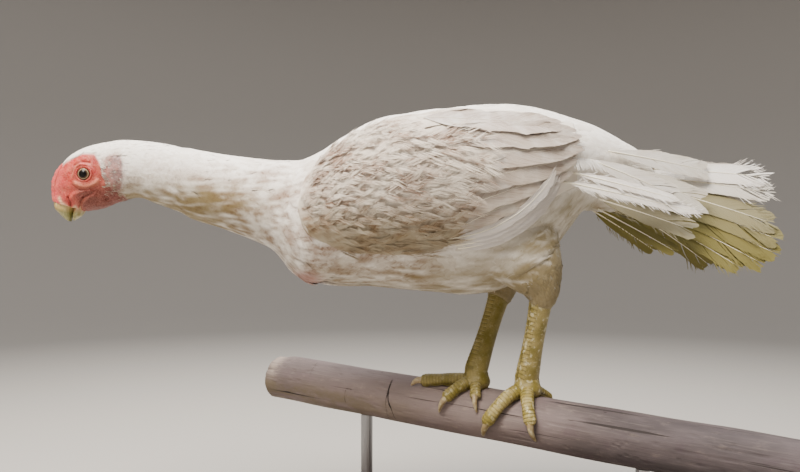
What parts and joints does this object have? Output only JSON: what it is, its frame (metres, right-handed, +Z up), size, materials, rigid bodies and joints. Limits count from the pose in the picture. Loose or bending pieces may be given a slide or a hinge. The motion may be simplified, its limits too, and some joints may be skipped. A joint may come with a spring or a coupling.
{
  "type": "aseel hen model",
  "caption": "Life-size still model of a white Aseel hen leaning forward on a cut length of pole, held by a flat display stand.",
  "frame": {"origin": "centre of the underside of the stand's base, on the surface that it stands on", "axes": "-X towards the bill, +X towards the tail, -Y the bird's left side, +Z up"},
  "size_m": [0.6133, 0.2804, 0.3782],
  "materials": {
    "plumage": "white and cream feathers, stained tan on the wing coverts, olive-yellow in the shade under the tail",
    "face": "bare pink and red skin with a fine pebbled grain",
    "comb": "low beaded red-pink skin",
    "bill": "greenish yellow horn with a dull shine",
    "eye": "wet and clear over a pale iris and a dark pupil",
    "leg": "pale yellow scutes, dusty in the joints",
    "claw": "pale horn",
    "pole": "weathered grey-brown, cracked along the grain",
    "board": "dark stained and satin lacquered",
    "rod": "dark satin steel"
  },
  "bodies": {
    "root": {"stand_base": "board", "stand_rod_far": "rod", "stand_rod_near": "rod", "perch": "pole", "torso": "plumage", "neck": "plumage", "tail": "plumage", "head": "face", "bill_upper": "bill", "bill_lower": "bill", "comb": "comb", "eye_left": "eye", "eye_right": "eye", "wing_left": "plumage", "wing_right": "plumage", "thigh_left": "plumage", "thigh_right": "plumage", "shank_left": "leg", "shank_right": "leg", "foot_left": "leg", "foot_right": "leg", "claw_left_middle": "claw", "claw_left_outer": "claw", "claw_left_inner": "claw", "claw_left_hind": "claw", "claw_right_middle": "claw", "claw_right_outer": "claw", "claw_right_inner": "claw", "claw_right_hind": "claw"}
  },
  "joints": []
}
